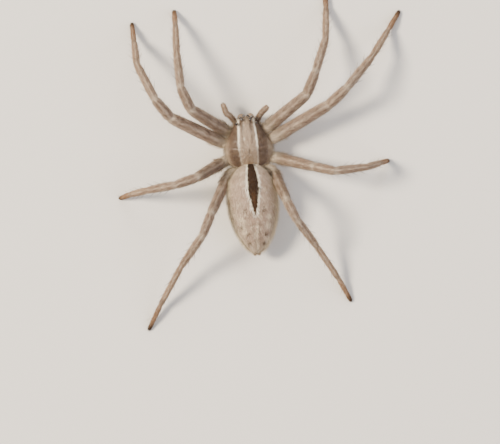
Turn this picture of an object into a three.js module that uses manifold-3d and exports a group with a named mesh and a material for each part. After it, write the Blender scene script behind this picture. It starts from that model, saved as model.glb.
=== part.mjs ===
// A running crab spider, an adult female about 8 mm long, standing still with its legs spread.
// Millimetres, +Z up, +Y towards the head, +X towards the spider's right side; the floor is z = 0.
import * as THREE from "three";
import { mergeVertices } from "three/addons/utils/BufferGeometryUtils.js";
import Module from "manifold-3d";

const wasm = await Module();
wasm.setup();

// Driving sizes of the body, measured from the waist, where carapace and abdomen meet.
const WAIST = new THREE.Vector3(-0.85, -0.46, 0); // where the waist stands, so that the origin is mid-span
const CUT = 0.05; // the thin cut between two neighbouring pieces
const CARAPACE = { front: 2.84, back: -0.24, halfWidth: 1.4, margin: 1.22, top: 2.28, under: 1.02 };
const ABDOMEN = { front: 0.1, back: -5.06, halfWidth: 1.44, rise: 1.06, drop: 0.98 };
const ABDOMEN_LEVELS = [1.86, 1.3]; // height of the abdomen's middle in front and behind
const ABDOMEN_X = -0.03; // the abdomen hangs a little to the left
const STERNUM = { front: 1.98, back: 0.0, halfWidth: 0.72, top: 0.97, under: 0.68 };
const PEDICEL = { radius: 0.2, front: -0.02, back: -0.75, z: 1.16 };
const SPINNERETS = [
  [-0.1, 1.0, 0.2, 0.1],
  [0.1, 1.0, 0.2, 0.1],
  [-0.12, 1.16, 0.24, 0.08],
  [0.12, 1.16, 0.24, 0.08],
]; // across, height, reach behind the base and half thickness of each
const HIP_Z = 1.1; // height of the joint between trochanter and femur
const SINK = 0.035; // how far a claw tip would reach below the floor, where it is cut to a small flat
const CLAW_LIFT = 0.6; // height of the tarsus line's end, as a share of its half thickness
const STEEPEST = 0.9; // sine of the steepest tarsus

// Eyes: radius, the gap round each in its socket, and the place of each pair on the right side.
const EYE_RADIUS = 0.085;
const EYE_GAP = 0.02;
const EYES = {
  front_middle: [0.12, 2.79, 1.93],
  front_side: [0.34, 2.72, 1.93],
  rear_middle: [0.24, 2.6, 2.11],
  rear_side: [0.54, 2.36, 2.08],
};

// Mouth parts, each a line of points for the right side with a half thickness at each point.
const JAW = {
  line: [
    [0.25, 2.55, 1.5],
    [0.26, 2.66, 1.25],
    [0.25, 2.72, 0.95],
    [0.2, 2.72, 0.66],
    [0.17, 2.68, 0.56],
  ],
  radii: [0.16, 0.215, 0.21, 0.15, 0.06],
};
const ENDITE = {
  line: [
    [0.3, 1.95, 0.86],
    [0.24, 2.25, 0.84],
    [0.14, 2.52, 0.84],
  ],
  radii: [0.12, 0.14, 0.06],
};
const LABIUM = {
  line: [
    [0, 1.8, 0.84],
    [0, 2.0, 0.84],
    [0, 2.28, 0.84],
  ],
  radii: [0.08, 0.18, 0.08],
};
const LIP_ROOT = { reach: 0.3, y: 2.05, z: 0.86, radius: 0.09 }; // joins the two endites to the sternum

// Palps: half thicknesses, the ring where the tip starts, and how far each one spreads and reaches.
const PALP_RADII = [0.13, 0.17, 0.17, 0.17, 0.17, 0.16, 0.14, 0.08];
const PALP_JOINT = 4;
const PALP_POSE = { left: { spread: 0.26, reach: 0.28 }, right: { spread: 0.26, reach: -0.12 } };
// The base of the spinnerets, from front to back: place along the body, height and half thickness.
const SPINNERET_BASE = [
  [-4.7, 1.06, 0.2],
  [-5.0, 1.08, 0.17],
];
const SPINNERET_ENDS = [-4.75, -4.98]; // where each cone starts in the base and where it bends outwards

// Faces: rings along a body and sides round it, and the same for each limb segment.
const CARAPACE_FACES = [20, 26];
const ABDOMEN_FACES = [24, 28];
const STERNUM_FACES = [12, 16];
const EYE_FACES = [10, 8];
const LIMB_SIDES = 10;
const STEPS = [4, 8, 5, 6, 6, 5];
const BOWS = [0, 0.07, 0.03, 0.03, 0.02, 0.02]; // how far each segment arches up
const NECK = 0.16; // how much a segment narrows at its ends
const LIMB_HEIGHT = 1.04; // a limb is a little higher than wide
const COXA_TAPER = 0.72; // the coxa's inner end and the claw tip, as shares of the segment's own radius
const PAIRS = [1, 2, 3, 4];
const SIDES = { left: -1, right: 1 };

// Segment lengths and half thicknesses of the four pairs of legs, from coxa to tarsus.
const SEGMENTS = ["coxa", "femur", "patella", "tibia", "metatarsus", "tarsus"];
const LENGTHS = {
  1: { femur: 3.05, patella: 1.4, tibia: 2.4, metatarsus: 2.1, tarsus: 1.3 },
  2: { femur: 3.7, patella: 1.45, tibia: 2.55, metatarsus: 2.2, tarsus: 1.35 },
  3: { femur: 2.7, patella: 1.32, tibia: 2.05, metatarsus: 1.65, tarsus: 1.12 },
  4: { femur: 2.95, patella: 1.35, tibia: 2.55, metatarsus: 2.75, tarsus: 1.7 },
};
const RADII = {
  1: { coxa: 0.33, femur: 0.36, patella: 0.3, tibia: 0.25, metatarsus: 0.19, tarsus: 0.14 },
  2: { coxa: 0.35, femur: 0.38, patella: 0.31, tibia: 0.255, metatarsus: 0.19, tarsus: 0.14 },
  3: { coxa: 0.34, femur: 0.33, patella: 0.28, tibia: 0.245, metatarsus: 0.18, tarsus: 0.135 },
  4: { coxa: 0.34, femur: 0.31, patella: 0.27, tibia: 0.24, metatarsus: 0.175, tarsus: 0.135 },
};
// Coxa: where it leaves the sternum's edge and where the femur's hip is, for the right side.
const COXAE = {
  1: { root: [0.5, 1.72, 0.9], hip: [1.2, 2.08] },
  2: { root: [0.66, 1.22, 0.9], hip: [1.49, 1.43] },
  3: { root: [0.62, 0.64, 0.9], hip: [1.56, 0.28] },
  4: { root: [0.37, 0.13, 0.9], hip: [1.31, -0.5] },
};
// The pose: the leg's own size, the heading of each segment seen from above, in degrees round from +X,
// and its slope up or down. The tarsus has no slope here: it runs from the metatarsus down to the floor.
const POSE = {
  left_1: [0.975, [144.3, 110.1, 92.1, 88.1, 90.6], [39.7, 15.3, -30, -37.4]],
  left_2: [0.975, [149.5, 125.7, 112.5, 93, 92.8], [27.5, 24, -21, -51.4]],
  left_3: [0.942, [-154, -165.7, -174.6, -171.9, -166.2], [49.3, -3, -29.6, -51.6]],
  left_4: [1.022, [-118.7, -116.4, -129.9, -123.6, -120.5], [39.5, 16.2, -34.9, -27.6]],
  right_1: [1.015, [34.3, 63.6, 67.9, 83.6, 88.7], [22.6, 20.3, -32.9, -34.4]],
  right_2: [1.015, [25.7, 37.6, 46, 53.5, 54.6], [15.5, 26, -22.6, -37.8]],
  right_3: [0.983, [-18.9, -17.4, 1.9, 12.1, 11.9], [36.2, 22.6, -23.4, -59.4]],
  right_4: [0.93, [-71, -68, -58, -60.8, -65.5], [51, -3, -37.4, -27.4]],
};

const SHEET = {
  shell: ["#9c8873", 0.75],
  belly: ["#b09c85", 0.8],
  leg: ["#a58a70", 0.75],
  foot: ["#8a6a4c", 0.75],
  jaw: ["#6d5238", 0.5],
  eye: ["#140d09", 0.15],
};
const FINISH = Object.fromEntries(
  Object.entries(SHEET).map(([key, [color, roughness]]) => [
    key,
    new THREE.MeshStandardMaterial({ color, roughness, metalness: 0 }),
  ]),
);

const spider = new THREE.Group();
const vec = (x, y, z) => new THREE.Vector3(x, y, z);
const mix = THREE.MathUtils.lerp;
const UP = vec(0, 0, 1);

// A closed body through a row of rings. A ring has a centre, two half axes across and up, and may
// have its own half height below the centre.
function loft(rings, sides) {
  const geometry = new THREE.CylinderGeometry(1, 1, 1, sides, rings.length - 1);
  const place = geometry.attributes.position;
  for (let i = 0; i < place.count; i++) {
    const ring = rings[Math.round((0.5 - place.getY(i)) * (rings.length - 1))];
    const across = place.getX(i);
    const up = place.getZ(i);
    const height = up < 0 && ring.down ? ring.down : ring.up;
    const spot = ring.centre.clone().addScaledVector(ring.across, across).addScaledVector(height, up);
    place.setXYZ(i, spot.x, spot.y, spot.z);
  }
  return geometry;
}

// A closed three.js geometry as a manifold solid, turned face out if the loft ran the other way.
function solid(geometry) {
  const bare = geometry.clone();
  bare.deleteAttribute("normal");
  bare.deleteAttribute("uv");
  const merged = mergeVertices(bare, 1e-5);
  const make = (triVerts) =>
    new wasm.Manifold(
      new wasm.Mesh({ numProp: 3, vertProperties: merged.attributes.position.array, triVerts }),
    );
  const faces = new Uint32Array(merged.index.array);
  const made = make(faces);
  return made.volume() > 0 ? made : make(faces.reverse());
}

// The largest closed surface of a solid, as a named mesh at the waist's place.
function addNode(name, body, finish) {
  const pieces = body.decompose().sort((a, b) => b.volume() - a.volume());
  const { vertProperties, triVerts } = pieces[0].getMesh();
  const geometry = new THREE.BufferGeometry();
  geometry.setAttribute("position", new THREE.BufferAttribute(vertProperties, 3));
  geometry.setIndex(new THREE.BufferAttribute(triVerts, 1));
  const mesh = new THREE.Mesh(geometry, FINISH[finish]);
  mesh.name = name;
  mesh.position.copy(WAIST);
  spider.add(mesh);
  return pieces[0];
}

// Rings for a body of the long axis Y, dense near both rounded ends.
function bodyRings(front, back, count, shape) {
  return Array.from({ length: count }, (_, i) => {
    const along = (1 - Math.cos((Math.PI * i) / (count - 1))) / 2;
    const { width, rise, drop, z } = shape(along);
    const thin = 1e-3;
    return {
      centre: vec(0, mix(front, back, along), z),
      across: vec(Math.max(width, thin), 0, 0),
      up: vec(0, 0, Math.max(rise, thin)),
      down: vec(0, 0, Math.max(drop, thin)),
    };
  });
}

// Half width of the carapace: a blunt narrow head that swells into a round thorax.
function carapaceWidth(along) {
  const round = Math.pow(Math.max(0, 1 - Math.pow(Math.abs(2 * along - 1), 4.5)), 0.5);
  const swell = THREE.MathUtils.smoothstep(along, 0.12, 0.62);
  return CARAPACE.halfWidth * mix(0.6, 1, swell) * round;
}

// Height of the carapace's ridge line above its margin.
function carapaceRise(along) {
  const full = CARAPACE.top - CARAPACE.margin;
  const face = Math.pow(Math.max(0, 1 - Math.pow(1 - Math.min(along / 0.16, 1), 3)), 0.6);
  const rear = 1 - 0.72 * THREE.MathUtils.smoothstep(along, 0.62, 1);
  return full * mix(0.84, 1, THREE.MathUtils.smoothstep(along, 0.08, 0.5)) * face * rear;
}

function carapaceShape(along) {
  const width = carapaceWidth(along);
  const belly = (CARAPACE.margin - CARAPACE.under) * Math.min(1, width / 0.5);
  return { width, rise: carapaceRise(along) * Math.min(1, width / 0.3), drop: belly, z: CARAPACE.margin };
}

// Half width of the abdomen: a long oval, widest in its front half and drawn to a point behind.
function abdomenSwell(along) {
  return Math.pow(Math.sin(Math.PI * Math.pow(along, 0.8)), 0.52);
}

function abdomenShape(along) {
  const swell = abdomenSwell(Math.min(along, 1));
  return {
    width: ABDOMEN.halfWidth * swell,
    rise: ABDOMEN.rise * Math.pow(swell, 1.15),
    drop: ABDOMEN.drop * Math.pow(swell, 1.3),
    z: mix(...ABDOMEN_LEVELS, along),
  };
}

// Half thickness along a limb segment: a neck at each joint and a swelling between.
function limbRadius(radius, next, along) {
  const taper = mix(radius, next, THREE.MathUtils.smoothstep(along, 0.35, 1));
  const neck = 1 - NECK * Math.pow(Math.abs(2 * along - 1), 6);
  return taper * neck;
}

// Rings of one limb segment from one joint to the next. The end rings lie on the planes that halve
// the bends, so that neighbours meet face to face across the thin cut.
function segmentRings(from, to, before, after, radius, next, bow, steps) {
  const line = to.clone().sub(from);
  const along = line.clone().normalize();
  const across = along.clone().cross(UP).normalize();
  const rise = across.clone().cross(along).normalize();
  const length = line.length();
  const startPlane = along.clone().add(before ?? along).normalize();
  const endPlane = along.clone().add(after ?? along).normalize();
  return Array.from({ length: steps + 1 }, (_, i) => {
    const share = i / steps;
    const inset = i === 0 ? CUT / 2 : i === steps ? -CUT / 2 : 0;
    const centre = from.clone().addScaledVector(along, share * length + inset);
    centre.addScaledVector(rise, bow * Math.sin(Math.PI * share));
    const half = limbRadius(radius, next, share);
    const plane = i === 0 ? startPlane : i === steps ? endPlane : along;
    const flat = (axis) => axis.clone().addScaledVector(along, -axis.dot(plane) / along.dot(plane));
    return {
      centre,
      across: flat(across).multiplyScalar(half),
      up: flat(rise).multiplyScalar(half * LIMB_HEIGHT),
    };
  });
}

function direction(heading, slope) {
  const turn = THREE.MathUtils.degToRad(heading);
  const tilt = THREE.MathUtils.degToRad(slope);
  return vec(Math.cos(turn) * Math.cos(tilt), Math.sin(turn) * Math.cos(tilt), Math.sin(tilt));
}

// The joints of one leg, from the coxa's root to the claw tip on the floor.
function legJoints(side, pair) {
  const sign = SIDES[side];
  const { root, hip } = COXAE[pair];
  const [size, heading, slope] = POSE[`${side}_${pair}`];
  const points = [vec(sign * root[0], root[1], root[2]), vec(sign * hip[0], hip[1], HIP_Z)];
  slope.forEach((tilt, i) => {
    const step = direction(heading[i], tilt).multiplyScalar(size * LENGTHS[pair][SEGMENTS[i + 1]]);
    points.push(points[i + 1].clone().add(step));
  });
  const ankle = points[5];
  const long = size * LENGTHS[pair].tarsus;
  const fall = Math.asin(Math.min(ankle.z / long, STEEPEST));
  const height = CLAW_LIFT * RADII[pair].tarsus * Math.cos(fall) - SINK;
  const reach = Math.sqrt(long ** 2 - (ankle.z - height) ** 2);
  const flat = direction(heading[4], 0).multiplyScalar(reach);
  points.push(vec(ankle.x + flat.x, ankle.y + flat.y, height));
  return points;
}

function legSegment(points, pair, index) {
  const [from, to] = [points[index], points[index + 1]];
  const way = (a, b) => (a && b ? b.clone().sub(a).normalize() : undefined);
  const radius = RADII[pair][SEGMENTS[index]];
  const next = index < 5 ? mix(radius, RADII[pair][SEGMENTS[index + 1]], 0.5) : radius * COXA_TAPER;
  const start = index === 0 ? radius * COXA_TAPER : radius;
  return segmentRings(
    from,
    to,
    way(points[index - 1], from),
    way(to, points[index + 2]),
    start,
    index === 0 ? radius : next,
    BOWS[index],
    STEPS[index],
  );
}

// One leg: coxa, femur, patella and tibia, and the foot, which is metatarsus and tarsus in one.
function buildLeg(side, pair) {
  const points = legJoints(side, pair);
  const limb = `leg_${side}_${pair}`;
  const piece = (index) => solid(loft(legSegment(points, pair, index), LIMB_SIDES));
  const coxa = piece(0);
  femora[limb] = piece(1);
  addNode(`${limb}_femur`, femora[limb], "leg");
  addNode(`${limb}_patella`, piece(2), "leg");
  addNode(`${limb}_tibia`, piece(3), "leg");
  const shin = legSegment(points, pair, 4);
  const toe = legSegment(points, pair, 5);
  const foot = solid(loft([...shin.slice(0, -1), ...toe.slice(1)], LIMB_SIDES));
  addNode(`${limb}_foot`, foot.trimByPlane([0, 0, 1], 0), "foot");
  return coxa;
}

// A round lens: an eye, or the socket that takes it.
function ball(centre, radius) {
  const sphere = new THREE.SphereGeometry(radius, ...EYE_FACES);
  return solid(sphere.translate(centre.x, centre.y, centre.z));
}

function tubeRings(points, radii) {
  return points.map((centre, i) => {
    const before = points[Math.max(i - 1, 0)];
    const after = points[Math.min(i + 1, points.length - 1)];
    const along = after.clone().sub(before).normalize();
    const side = Math.abs(along.z) > 0.9 ? vec(1, 0, 0) : along.clone().cross(UP).normalize();
    const rise = side.clone().cross(along).normalize();
    return {
      centre: centre.clone(),
      along,
      across: side.multiplyScalar(radii[i]),
      up: rise.multiplyScalar(radii[i]),
    };
  });
}

const bodySolid = ({ front, back }, [rings, sides], shape) =>
  solid(loft(bodyRings(front, back, rings, shape), sides));

const taperedTube = (points, radii) => solid(loft(tubeRings(points, radii), LIMB_SIDES));

// A tube through a line of points, on the right side as given or mirrored to the left.
const mirrored = ({ line, radii }, sign) =>
  taperedTube(
    line.map(([x, y, z]) => vec(sign * x, y, z)),
    radii,
  );

const coxae = {};
const femora = {};
for (const side of Object.keys(SIDES)) {
  for (const pair of PAIRS) coxae[`leg_${side}_${pair}_coxa`] = buildLeg(side, pair);
}

// Sternum: a heart shaped plate between the coxae, with the labium and the two endites in front.
function sternumShape(along) {
  const width = STERNUM.halfWidth * Math.pow(Math.sin(Math.PI * Math.pow(along, 0.85)), 0.6);
  const middle = (STERNUM.top + STERNUM.under) / 2;
  const half = ((STERNUM.top - STERNUM.under) / 2) * Math.min(1, width / 0.25);
  return { width, rise: half, drop: half, z: middle };
}
const lipRoot = [-LIP_ROOT.reach, LIP_ROOT.reach].map((x) => vec(x, LIP_ROOT.y, LIP_ROOT.z));
const sternum = bodySolid(STERNUM, STERNUM_FACES, sternumShape)
  .add(mirrored(LABIUM, 1))
  .add(taperedTube(lipRoot, [LIP_ROOT.radius, LIP_ROOT.radius]))
  .add(mirrored(ENDITE, SIDES.left))
  .add(mirrored(ENDITE, SIDES.right));

// A solid grown by the thin cut, to clear room for it in its neighbour.
function grown(body) {
  const box = body.boundingBox();
  const middle = [0, 1, 2].map((i) => (box.min[i] + box.max[i]) / 2);
  const scale = [0, 1, 2].map((i) => 1 + (2 * CUT) / (box.max[i] - box.min[i]));
  return body
    .translate(middle.map((m) => -m))
    .scale(scale)
    .translate(middle);
}

let plate = sternum;
for (const [name, coxa] of Object.entries(coxae)) {
  addNode(name, coxa, "leg");
  plate = plate.subtract(grown(coxa));
}
addNode("sternum", plate, "belly");

const eyes = {};
const jaws = {};
for (const [side, sign] of Object.entries(SIDES)) {
  for (const [name, [x, y, z]] of Object.entries(EYES)) eyes[`eye_${name}_${side}`] = vec(sign * x, y, z);
  jaws[`chelicera_${side}`] = mirrored(JAW, sign);
}

// A palp: a short leg of the mouth, an arm that rises forwards and a tip that bends down.
const palps = [];
function palpLine(sign, spread, reach) {
  return [
    [0.52, 2.34, 1.0],
    [0.62, 2.52, 1.14],
    [0.7 + spread * 0.3, 2.74, 1.34],
    [0.76 + spread * 0.6, 2.92, 1.46],
    [0.82 + spread, 3.05, 1.48],
    [0.88 + spread, 3.16 + reach * 0.4, 1.42],
    [0.94 + spread, 3.26 + reach * 0.8, 1.28],
    [0.97 + spread, 3.32 + reach, 1.12],
  ].map(([x, y, z]) => vec(sign * x, y, z));
}
for (const [side, sign] of Object.entries(SIDES)) {
  const { spread, reach } = PALP_POSE[side];
  const rings = tubeRings(palpLine(sign, spread, reach), PALP_RADII);
  const joint = rings[PALP_JOINT];
  const start = joint.centre.clone().addScaledVector(joint.along, CUT);
  const tip = [{ ...joint, centre: start }, ...rings.slice(PALP_JOINT + 1)];
  palps.push(solid(loft(rings.slice(0, PALP_JOINT + 1), LIMB_SIDES)));
  addNode(`palp_${side}_arm`, palps.at(-1), "leg");
  addNode(`palp_${side}_tip`, solid(loft(tip, LIMB_SIDES)), "foot");
}

const abdomen = bodySolid(ABDOMEN, ABDOMEN_FACES, abdomenShape)
  .translate([ABDOMEN_X, 0, 0])
  .subtract(grown(femora.leg_left_4))
  .subtract(grown(femora.leg_right_4));
let carapace = bodySolid(CARAPACE, CARAPACE_FACES, carapaceShape);
const neighbours = [...Object.values(coxae), ...Object.values(jaws), ...palps, abdomen];
for (const body of neighbours) carapace = carapace.subtract(grown(body));
for (const [name, spot] of Object.entries(eyes)) {
  carapace = carapace.subtract(ball(spot, EYE_RADIUS + EYE_GAP));
  addNode(name, ball(spot, EYE_RADIUS), "eye");
}
for (const [name, body] of Object.entries(jaws)) addNode(name, body, "jaw");
addNode("carapace", carapace, "shell");
addNode("abdomen", abdomen, "belly");

// The waist's stalk: a short tube between the two halves of the body.
const stalk = taperedTube(
  [vec(0, PEDICEL.front, PEDICEL.z), vec(0, PEDICEL.back, PEDICEL.z)],
  [PEDICEL.radius, PEDICEL.radius],
);
let pedicel = stalk;
const around = [abdomen, plate, carapace, coxae.leg_left_4_coxa, coxae.leg_right_4_coxa];
for (const body of around) pedicel = pedicel.subtract(grown(body));
addNode("pedicel", pedicel, "shell");

// Spinnerets: two pairs of short cones on one base, under the hind tip of the abdomen.
const cone = (x, z, length, radius) =>
  taperedTube(
    [
      vec(x * 0.6, SPINNERET_ENDS[0], z),
      vec(x, SPINNERET_ENDS[1], z),
      vec(x * 1.15, SPINNERET_ENDS[1] - length, z - 0.02),
    ],
    [radius * 0.9, radius, radius * 0.5],
  );
let spinnerets = taperedTube(
  SPINNERET_BASE.map(([y, z]) => vec(0, y, z)),
  SPINNERET_BASE.map(([, , radius]) => radius),
);
for (const [x, z, length, radius] of SPINNERETS) {
  spinnerets = spinnerets.add(cone(x, z, length, radius));
}
addNode("spinnerets", spinnerets.translate([ABDOMEN_X, 0, 0]).subtract(grown(abdomen)), "foot");

export default spider;
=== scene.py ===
# %% [markdown]
# A running crab spider, life size. Its solids are packed and fixed, and this lesson gives them their looks.
# The skins could be placed by eye. They are made in the frame of the solids instead, so that every piece
# lands in its place. That frame is in metres, with the head towards +Y and the floor at zero.

# %% Load the frame
import math
import bmesh
import bpy
import numpy as np
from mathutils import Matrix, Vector


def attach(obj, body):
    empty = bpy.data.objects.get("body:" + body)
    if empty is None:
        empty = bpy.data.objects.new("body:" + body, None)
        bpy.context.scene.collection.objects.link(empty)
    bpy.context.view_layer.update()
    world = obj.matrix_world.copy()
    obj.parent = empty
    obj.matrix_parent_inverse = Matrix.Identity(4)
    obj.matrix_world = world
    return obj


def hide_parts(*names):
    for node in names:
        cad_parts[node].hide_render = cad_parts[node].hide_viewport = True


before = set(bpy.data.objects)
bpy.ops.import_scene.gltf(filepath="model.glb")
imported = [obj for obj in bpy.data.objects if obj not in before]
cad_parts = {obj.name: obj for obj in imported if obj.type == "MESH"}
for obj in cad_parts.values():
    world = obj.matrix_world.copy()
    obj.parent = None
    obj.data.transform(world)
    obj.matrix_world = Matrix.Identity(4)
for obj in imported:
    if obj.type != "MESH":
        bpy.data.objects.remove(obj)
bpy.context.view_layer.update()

print("nodes", len(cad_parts))

# %% [markdown]
# An animal this small is easier to measure in millimetres, from one place on its body. The waist, where
# carapace and abdomen meet, shows clearly from above, so it is that place. One function turns such
# millimetres into metres of the frame, and two more blend and ease values in all that follows.

# %% Units and the waist
MM = 0.001
WAIST = np.array([-0.85, -0.46, 0.0])  # millimetres from the frame's origin


def metres(points):
    """Millimetres from the waist to metres of the frame."""
    return (np.asarray(points) + WAIST) * MM


def mix(low, high, share):
    """A value between low at share 0 and high at share 1."""
    return low + (high - low) * share


def smooth(value, low, high):
    """0 below low, 1 above high, with a soft S between."""
    share = np.clip((value - low) / (high - low), 0, 1)
    return share * share * (3 - 2 * share)


print("waist", metres([0, 0, 0]))

# %% [markdown]
# The camera looks straight down through a long lens, so that high knees and low feet keep one scale. It
# could be matched by eye. Its place follows here from what was measured in the photograph: the pixels in
# a millimetre, where the waist lies, and how far the head leans to the left.

# %% Camera
SCALE = 17.6  # pixels for a millimetre
LEAN = math.radians(5.1)  # the head's lean to the left of the picture's up
WAIST_PIXEL = (250.0, 165.0)
FRAME_PIXELS = (500, 444)
LENS_DISTANCE = 300.0  # millimetres from the body to the lens
BODY_LEVEL = 1.9  # millimetres from the floor to the body
SENSOR = 36  # millimetres


def body_place(u, v):
    """A pixel of the photograph as millimetres from the waist."""
    du, dv = u - WAIST_PIXEL[0], v - WAIST_PIXEL[1]
    x = (du * math.cos(LEAN) - dv * math.sin(LEAN)) / SCALE
    y = (-du * math.sin(LEAN) - dv * math.cos(LEAN)) / SCALE
    return x, y


middle = metres([*body_place(FRAME_PIXELS[0] / 2, FRAME_PIXELS[1] / 2), 0])
lens = bpy.data.cameras.new("macro lens")
lens.sensor_width = SENSOR
lens.lens = SENSOR * LENS_DISTANCE / (FRAME_PIXELS[0] / SCALE)
lens.clip_start = 0.01
lens.clip_end = 10
camera = bpy.data.objects.new("camera", lens)
camera.location = (middle[0], middle[1], (LENS_DISTANCE + BODY_LEVEL) * MM)
camera.rotation_euler = (0, 0, -LEAN)
bpy.context.scene.collection.objects.link(camera)
bpy.context.scene.camera = camera
print("lens", round(lens.lens), "mm")

# %% [markdown]
# A material is a small tree of shader nodes. Each could be wired by hand in the editor. One helper adds a
# node with its settings and links instead, so that every finish below is a few lines to read.


# %% Materials from nodes
def hex_colour(text):
    """An sRGB hex colour as linear red, green, blue and alpha."""
    parts = [int(text[i : i + 2], 16) / 255 for i in (1, 3, 5)]
    return [p / 12.92 if p <= 0.04045 else ((p + 0.055) / 1.055) ** 2.4 for p in parts] + [1.0]


def add_node(tree, kind, inputs=None, **settings):
    """A shader node with its settings, and its inputs set to a value or linked from a socket."""
    node = tree.nodes.new(kind)
    for key, value in settings.items():
        setattr(node, key, value)
    for key, value in (inputs or {}).items():
        if isinstance(value, bpy.types.NodeSocket):
            tree.links.new(value, node.inputs[key])
        else:
            node.inputs[key].default_value = value
    return node


def new_material(name):
    material = bpy.data.materials.new(name)
    material.use_nodes = True
    material.node_tree.nodes.clear()
    return material, material.node_tree


def finish_material(tree, colour, roughness, normal=None, **constants):
    """The shader and the output. Values that are the same all over sit on the shader's own sockets."""
    inputs = {"Base Color": colour, "Roughness": roughness, **constants}
    if normal:
        inputs["Normal"] = normal
    shader = add_node(tree, "ShaderNodeBsdfPrincipled", inputs)
    add_node(tree, "ShaderNodeOutputMaterial", {"Surface": shader.outputs[0]})


print("mid grey", round(hex_colour("#808080")[0], 3))

# %% [markdown]
# The spider stands on a plain pale floor. A modelled ground would draw the eye, and a flat sheet shows
# the legs' shadows best. It lies a hair's breadth under the soles, so that the two don't flicker.

# %% Floor
FLOOR_HALF = 0.6  # metres
FLOOR_DROP = 0.00002  # metres under the soles


def link_object(name, mesh, *materials):
    piece = bpy.data.objects.new(name, mesh)
    for material in materials:
        mesh.materials.append(material)
    bpy.context.scene.collection.objects.link(piece)
    return piece


# Uncoated paper, pressed from pulp: it has no gloss at all, so shadows lie soft and even on it.
paper, tree = new_material("pale matt paper")
finish_material(tree, hex_colour("#e9e6e0"), 0.9)

ground = bmesh.new()
bmesh.ops.create_grid(ground, x_segments=1, y_segments=1, size=FLOOR_HALF)
bmesh.ops.translate(ground, verts=ground.verts, vec=(0, 0, -FLOOR_DROP))
floor_mesh = bpy.data.meshes.new("floor")
ground.to_mesh(floor_mesh)
ground.free()
floor = link_object("floor", floor_mesh, paper)
print("floor", 2 * FLOOR_HALF, "m wide")

# %% [markdown]
# Light is what makes fur look soft. One small strong lamp could light the spider, but its shadows would
# be black. So the strongest light comes from the left, a broad one from the other side keeps the shaded
# flanks open, and a weak one from the front edges the hairs.

# %% Lights
LIGHT_DISTANCE = 0.4  # metres
LIGHTS = [  # azimuth and elevation in degrees, width in metres, watts, colour
    ("key", 165, 48, 0.1, 3.4, "#fff0da"),
    ("fill", -25, 40, 0.35, 0.9, "#f4f1ff"),
    ("rim", 75, 35, 0.2, 0.6, "#ffffff"),
]
WORLD_STRENGTH = 0.5


def add_light(name, azimuth, elevation, size, power, colour):
    """A square soft light, aimed at the spider."""
    light = bpy.data.lights.new(name, "AREA")
    light.size = size
    light.energy = power
    light.color = hex_colour(colour)[:3]
    lamp = bpy.data.objects.new(name, light)
    turn, rise = math.radians(azimuth), math.radians(elevation)
    away = Vector((math.cos(turn) * math.cos(rise), math.sin(turn) * math.cos(rise), math.sin(rise)))
    lamp.location = away * LIGHT_DISTANCE
    lamp.rotation_euler = away.to_track_quat("Z", "Y").to_euler()
    bpy.context.scene.collection.objects.link(lamp)


for light in LIGHTS:
    add_light(*light)
world = bpy.data.worlds.new("studio")
world.use_nodes = True
background = world.node_tree.nodes["Background"]
background.inputs["Color"].default_value = hex_colour("#f2f0ec")
background.inputs["Strength"].default_value = WORLD_STRENGTH
bpy.context.scene.world = world
print("lights", len(LIGHTS))

# %% [markdown]
# The carapace is the hard shield over head and chest. It could be sculpted, but its places are needed
# again for the hairs and the markings. So its shape is a formula: where the skin is, for a share along
# the part and an angle round it. It is the solid's formula, drawn in by the depth of the coat, with the
# dent and the shallow grooves that show where muscles hold on to it from inside.

# %% Carapace shape
COAT_DEPTH = 0.035  # millimetres of coat over the skin of the body
CARAPACE = {"front": 2.84, "back": -0.24, "half_width": 1.4, "margin": 1.22, "top": 2.28, "under": 1.02}
FOVEA = (0.06, 0.84)  # the dent where the stomach's muscle holds the carapace
FOVEA_DEPTH = 0.07
GROOVE_DEPTH = 0.022
GROOVES = 7  # gaps between grooves in a half turn round the fovea


def ring_body(along, angle, length, x, level, width, rise, drop):
    """Points of a body along Y whose cross-section is an oval with its own top and bottom."""
    side, up = np.cos(angle), np.sin(angle)
    height = np.where(up < 0, drop, rise) * up
    return np.stack([x + width * side, mix(*length, along), level + height], -1)


def fovea_fan(points, sharpness):
    """1 on the lines that fan out from the fovea and 0 between them."""
    x, y = points[..., 0] - FOVEA[0], points[..., 1] - FOVEA[1]
    return np.cos(GROOVES * np.arctan2(np.abs(x), y)) ** sharpness


def carve_carapace(points):
    """The fovea, and the shallow grooves between the leg muscles."""
    x, y = points[..., 0] - FOVEA[0], points[..., 1] - FOVEA[1]
    upper = smooth(points[..., 2], 1.45, 1.8)
    dent = FOVEA_DEPTH * np.exp(-((x / 0.05) ** 2) - (y / 0.16) ** 2)
    reach = np.hypot(x, y)
    groove = GROOVE_DEPTH * fovea_fan(points, 6) * smooth(reach, 0.15, 0.45) * (1 - smooth(reach, 0.9, 1.25))
    points[..., 2] -= (dent + groove) * upper
    return points


def carapace_shape(along, angle):
    """Narrow and steep at the face, widest behind the middle, and low towards the waist."""
    size = CARAPACE
    swell = mix(0.6, 1, smooth(along, 0.12, 0.62))
    round_off = np.sqrt(np.clip(1 - np.abs(2 * along - 1) ** 4.5, 0, 1))
    width = (size["half_width"] - COAT_DEPTH) * swell * round_off
    face = np.clip(1 - (1 - np.minimum(along / 0.16, 1)) ** 3, 0, 1) ** 0.6
    rear = 1 - 0.72 * smooth(along, 0.62, 1)
    rise = (size["top"] - size["margin"] - COAT_DEPTH) * mix(0.84, 1, smooth(along, 0.08, 0.5))
    rise = rise * face * rear * np.minimum(1, width / 0.3)
    drop = (size["margin"] - size["under"]) * np.minimum(1, width / 0.5)
    length = (size["front"] - COAT_DEPTH, size["back"] + COAT_DEPTH)
    return carve_carapace(ring_body(along, angle, length, 0, size["margin"], width, rise, drop))


print("top of the carapace", carapace_shape(np.array([0.5]), np.array([math.pi / 2])).round(2))

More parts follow.
